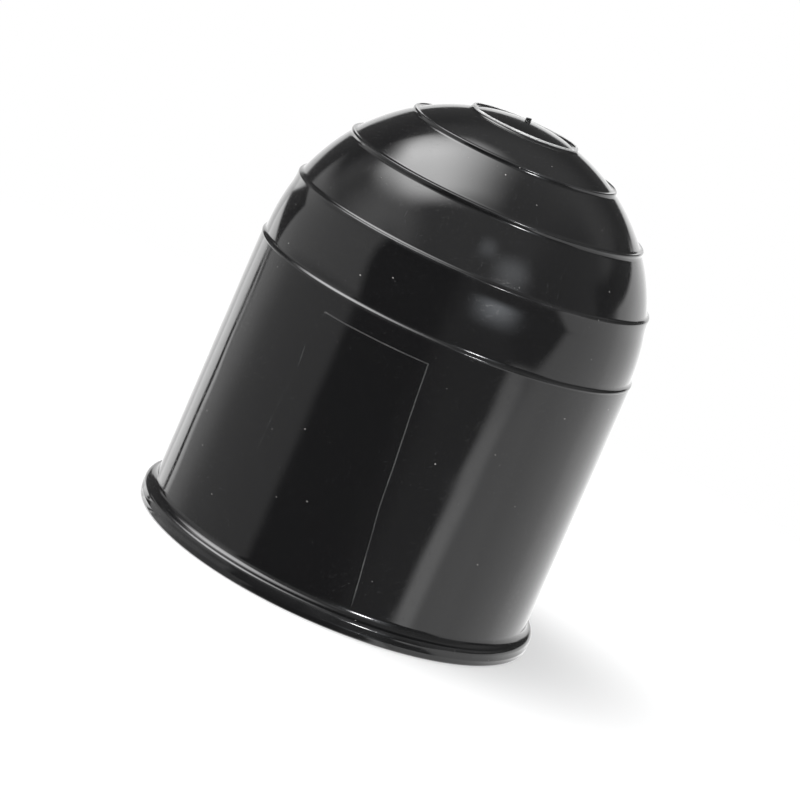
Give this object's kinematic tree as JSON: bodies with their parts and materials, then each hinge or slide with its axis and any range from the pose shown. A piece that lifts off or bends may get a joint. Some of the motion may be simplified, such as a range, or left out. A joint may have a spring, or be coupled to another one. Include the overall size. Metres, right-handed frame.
{
  "type": "tow ball cover",
  "caption": "Moulded plastic cap for a tow ball: a ringed dome on a slightly tapered round skirt with a lip at its open mouth and grip ribs inside.",
  "frame": {"origin": "centre of the mouth, on the plane of the lip's foot", "axes": "+Z along the axis of the cap, from the mouth to the crown; -Y is the side that the picture shows"},
  "size_m": [0.066, 0.066, 0.0771],
  "materials": {
    "black_plastic": "gloss black as moulded, with fine dust and faint rubs"
  },
  "bodies": {
    "root": {"cover": "black_plastic"}
  },
  "joints": []
}
